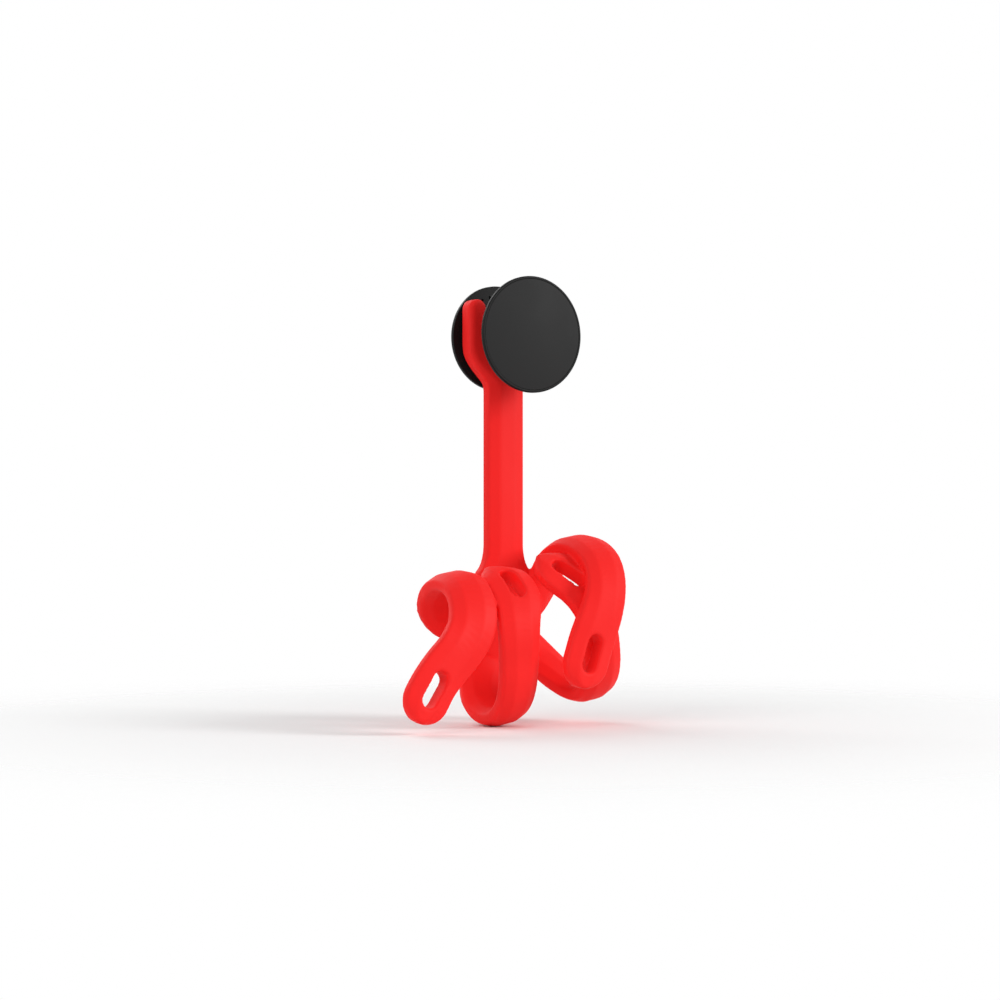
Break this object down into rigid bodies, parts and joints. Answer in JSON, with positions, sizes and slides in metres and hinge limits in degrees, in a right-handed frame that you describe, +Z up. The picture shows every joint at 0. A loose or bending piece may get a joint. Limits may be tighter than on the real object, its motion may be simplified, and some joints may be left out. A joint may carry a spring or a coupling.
{
  "type": "flexible phone mount",
  "caption": "Bendable silicone phone mount: soft slotted legs wrap a round bar, and a forked stem holds the neck of a collapsible grip that sticks to the back of a phone.",
  "frame": {"origin": "on the axis of the bar that the legs wrap, straight below the middle of the stem", "axes": "+Z up along the stem, +Y from the front of the grip to the phone, +X to the right; the bar's axis lies in the XZ plane and rises 10 degrees towards +X"},
  "size_m": [0.0892, 0.051, 0.1532],
  "materials": {
    "red_silicone": "soft matte silicone",
    "insert_plastic": "moulded",
    "soft_wire": "drawn wire",
    "clamp_steel": "pressed sheet",
    "rivet_steel": "satin",
    "black_plastic": "fine matte",
    "black_elastomer": "matte",
    "cap_film": "smooth matte film",
    "adhesive": "foam tape"
  },
  "bodies": {
    "mount": {"silicone_body": "red_silicone", "fork_insert": "insert_plastic", "stem_wire_left": "soft_wire", "stem_wire_right": "soft_wire", "hub_clamp_front": "clamp_steel", "hub_clamp_back": "clamp_steel", "hub_rivet_upper": "rivet_steel", "hub_rivet_lower": "rivet_steel", "leg_wire_over_left": "soft_wire", "leg_wire_under_left": "soft_wire", "leg_wire_over_right": "soft_wire", "leg_wire_under_right": "soft_wire"},
    "grip_neck": {"foot_ring": "black_plastic", "accordion": "black_elastomer"},
    "grip_top": {"retaining_ring": "clamp_steel", "top_platform": "black_plastic", "top_cap": "black_plastic", "cap_film": "cap_film"},
    "grip_base": {"base_plate": "black_plastic", "adhesive_pad": "adhesive"}
  },
  "joints": [
    {"name": "grip_lift", "type": "slide", "parent": "mount", "child": "grip_neck", "axis": [0, 0, 1], "range_m": [0, 0.026]},
    {"name": "top_collapse", "type": "slide", "parent": "grip_neck", "child": "grip_top", "axis": [0, 1, 0], "range_m": [0, 0.008], "deforming": ["accordion"]},
    {"name": "phone_swivel", "type": "hinge", "parent": "grip_neck", "child": "grip_base", "pos_m": [0, 0.0218, 0.1003], "axis": [0, 1, 0], "continuous": true}
  ]
}
